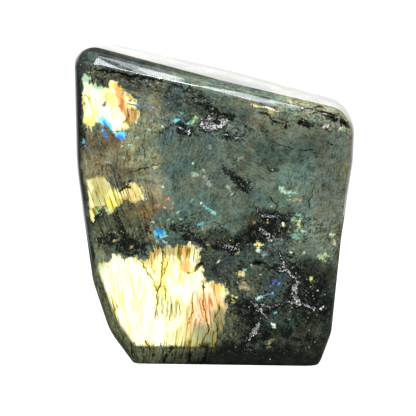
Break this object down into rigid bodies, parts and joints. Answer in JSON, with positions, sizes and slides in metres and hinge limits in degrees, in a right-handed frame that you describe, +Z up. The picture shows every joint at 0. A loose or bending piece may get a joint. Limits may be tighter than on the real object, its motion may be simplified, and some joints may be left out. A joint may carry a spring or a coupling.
{
  "type": "polished labradorite freeform",
  "caption": "Upright polished labradorite stone with a flat face, rolled edges, a sloping top and a sawn foot to stand on.",
  "frame": {"origin": "on the table under the middle of the stone's box", "axes": "+Z up, the flat polished face looks along -Y, +X to the right as seen from the front"},
  "size_m": [0.125, 0.056, 0.1407],
  "materials": {
    "polished_labradorite": "polished, dark green-grey with patches that flash yellow, orange and blue"
  },
  "bodies": {
    "root": {"labradorite_stone": "polished_labradorite"}
  },
  "joints": []
}
